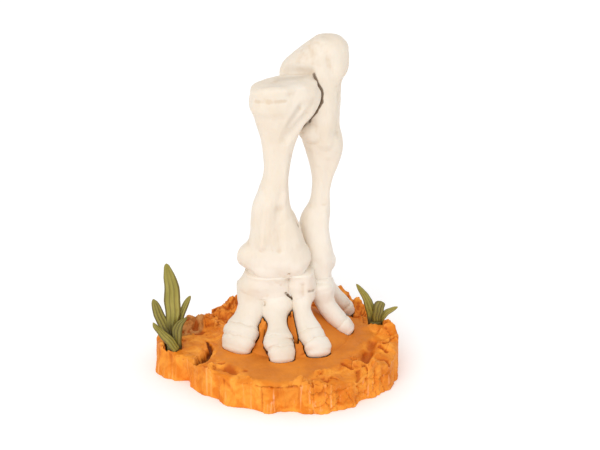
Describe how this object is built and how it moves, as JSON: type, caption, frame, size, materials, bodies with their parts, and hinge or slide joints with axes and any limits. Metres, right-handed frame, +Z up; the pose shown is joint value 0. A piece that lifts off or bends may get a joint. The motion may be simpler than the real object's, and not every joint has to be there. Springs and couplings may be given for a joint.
{
  "type": "dinosaur foreleg skeleton model in its footprint",
  "caption": "Display model of a horned dinosaur's foreleg bones standing in a footprint on a rugged orange earth slab with green plants.",
  "frame": {"origin": "middle of the slab's flat underside", "axes": "+Z up along the leg, toes point along -Y, +X to the side of the outer toes"},
  "size_m": [0.1503, 0.1374, 0.203],
  "materials": {
    "bone": "off-white moulded plastic, bone grain, soft sheen",
    "earth": "orange moulded plastic, rough earth with darker hollows",
    "leaf": "olive moulded plastic with a dark wash between ribs"
  },
  "bodies": {
    "root": {"earth_slab": "earth", "radius": "bone", "ulna": "bone", "carpal_inner": "bone", "carpal_middle": "bone", "carpal_outer": "bone", "metacarpal_1": "bone", "metacarpal_2": "bone", "metacarpal_3": "bone", "metacarpal_4": "bone", "metacarpal_5": "bone", "phalanx_1": "bone", "phalanx_2": "bone", "phalanx_3": "bone", "hoof_1": "bone", "hoof_2": "bone", "hoof_3": "bone", "hoof_4": "bone", "hoof_5": "bone", "plant_left": "leaf", "plant_right": "leaf"}
  },
  "joints": []
}
